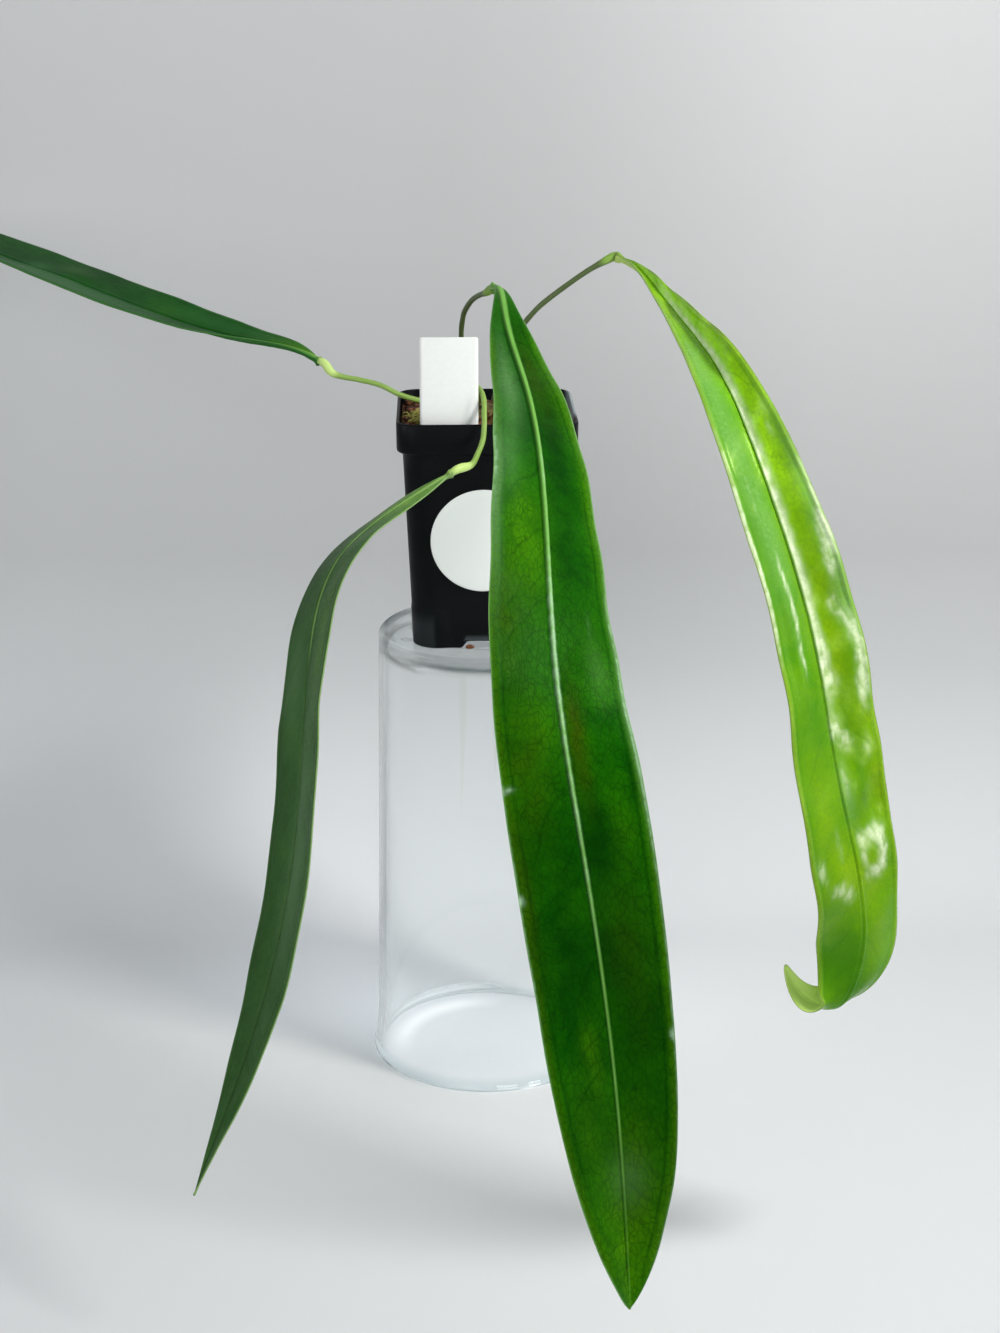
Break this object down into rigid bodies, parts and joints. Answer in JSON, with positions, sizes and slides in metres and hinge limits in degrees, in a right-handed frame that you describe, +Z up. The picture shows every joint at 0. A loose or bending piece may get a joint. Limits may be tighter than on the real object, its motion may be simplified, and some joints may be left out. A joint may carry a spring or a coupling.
{
  "type": "potted strap-leaf anthurium on a glass stand",
  "caption": "Pendent anthurium with long strap leaves on thin stalks, in a square black nursery pot with a blank tag and sticker, standing on an upturned clear glass cylinder.",
  "frame": {"origin": "on the surface that the glass stands on, at the middle of the outer box seen from above", "axes": "+Z up; seen from the side with the sticker, +X is to the right and +Y is away; Y is the longest extent"},
  "size_m": [0.401, 0.4384, 0.3126],
  "materials": {
    "glass": "polished",
    "pot_plastic": "satin",
    "label_paper": "satin",
    "tag_plastic": "satin",
    "bark": "matte",
    "moss": "matte",
    "crown": "matte",
    "stalk_olive": "satin",
    "stalk_pale": "satin",
    "leaf_deep": "gloss",
    "leaf_lime": "gloss",
    "leaf_dull": "satin",
    "leaf_blue": "gloss"
  },
  "bodies": {
    "root": {"glass_stand": "glass", "pot": "pot_plastic", "pot_label": "label_paper", "plant_tag": "tag_plastic", "substrate": "bark", "moss": "moss", "crown": "crown", "stalk_front": "stalk_olive", "blade_front": "leaf_deep", "stalk_right": "stalk_olive", "blade_right": "leaf_lime", "stalk_hanging": "stalk_pale", "blade_hanging": "leaf_dull", "stalk_left": "stalk_pale", "blade_left": "leaf_blue"}
  },
  "joints": []
}
